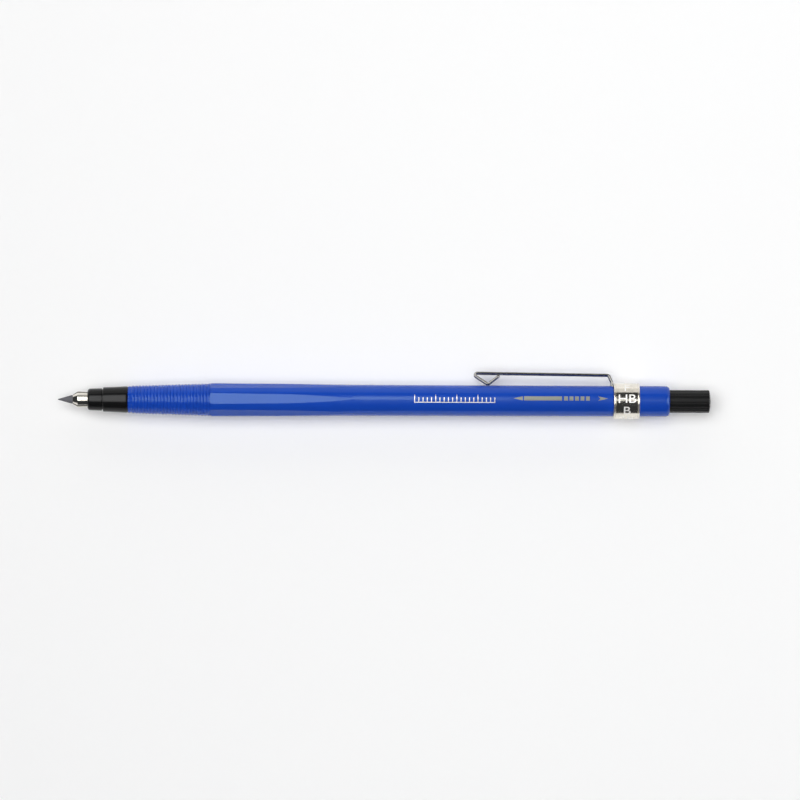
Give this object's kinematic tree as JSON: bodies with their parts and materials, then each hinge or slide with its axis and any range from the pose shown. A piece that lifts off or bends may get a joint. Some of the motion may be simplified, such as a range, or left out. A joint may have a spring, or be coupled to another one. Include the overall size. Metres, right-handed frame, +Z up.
{
  "type": "lead holder",
  "caption": "Clutch lead holder: pointed lead in a split collet, tapered nose, ringed grip on a hexagonal belly, grade ring, wire pocket clip and fluted push button.",
  "frame": {"origin": "bottom centre of the whole holder's box, on the surface that it lies on", "axes": "+X along the holder from the point of the lead to the push button, +Y towards the pocket clip, +Z up from the surface"},
  "size_m": [0.155, 0.0112, 0.0086],
  "materials": {
    "graphite": "satin graphite",
    "nickel_brass": "nickel-plated brass",
    "brass": "drawn brass",
    "spring_steel": "bright spring wire",
    "black_plastic": "semi-gloss moulding",
    "blue_plastic": "gloss moulding",
    "nickel": "nickel plate, embossed",
    "clip_steel": "bright drawn wire",
    "button_plastic": "satin moulding",
    "blade_steel": "ground steel"
  },
  "bodies": {
    "holder": {"nose_tip": "black_plastic", "nose_cone": "black_plastic", "barrel": "blue_plastic", "barrel_end": "blue_plastic", "clip_end_1": "clip_steel", "clip_end_2": "clip_steel", "clutch_spring": "spring_steel"},
    "carriage": {"clutch_sleeve": "brass", "lead_tube": "brass"},
    "jaw_1": {"clutch_jaw_1": "nickel_brass"},
    "jaw_2": {"clutch_jaw_2": "nickel_brass"},
    "jaw_3": {"clutch_jaw_3": "nickel_brass"},
    "lead": {"lead": "graphite"},
    "ring": {"grade_ring": "nickel"},
    "clip": {"clip_arm": "clip_steel"},
    "button": {"push_button": "button_plastic", "pointer_body": "brass", "pointer_blade": "blade_steel"}
  },
  "joints": [
    {"name": "push_slide", "type": "slide", "parent": "holder", "child": "carriage", "axis": [-1, 0, 0], "range_m": [0, 0.004], "stiffness_N_per_m": 750, "springref_m": -0.0065, "deforming": ["clutch_spring"]},
    {"name": "jaw_1_open", "type": "hinge", "parent": "carriage", "child": "jaw_1", "pos_m": [-0.05791, -0.00128, 0.00563], "axis": [0, 1, 0], "range_deg": [0, 1.2]},
    {"name": "jaw_2_open", "type": "hinge", "parent": "carriage", "child": "jaw_2", "pos_m": [-0.05791, -0.00241, 0.00366], "axis": [0, -0.5, 0.866], "range_deg": [0, 1.2]},
    {"name": "jaw_3_open", "type": "hinge", "parent": "carriage", "child": "jaw_3", "pos_m": [-0.05791, -0.00014, 0.00366], "axis": [0, -0.5, -0.866], "range_deg": [0, 1.2]},
    {"name": "lead_slide", "type": "slide", "parent": "carriage", "child": "lead", "axis": [-1, 0, 0], "range_m": [-0.0174, 0.1223]},
    {"name": "ring_spin", "type": "hinge", "parent": "holder", "child": "ring", "pos_m": [0.05745, -0.00128, 0.00432], "axis": [1, 0, 0], "continuous": true},
    {"name": "clip_flex", "type": "hinge", "parent": "holder", "child": "clip", "pos_m": [0.05405, 0.00239, 0.00432], "axis": [0, 0, -1], "range_deg": [0, 5], "stiffness_Nm_per_rad": 0.7, "springref_deg": -1.72},
    {"name": "button_pull", "type": "slide", "parent": "carriage", "child": "button", "axis": [1, 0, 0], "range_m": [0, 0.012]}
  ],
  "couplings": [
    {"joint": "jaw_1_open", "follows": "push_slide", "rad_per_m": 5.2307},
    {"joint": "jaw_2_open", "follows": "push_slide", "rad_per_m": 5.2307},
    {"joint": "jaw_3_open", "follows": "push_slide", "rad_per_m": 5.2307}
  ]
}
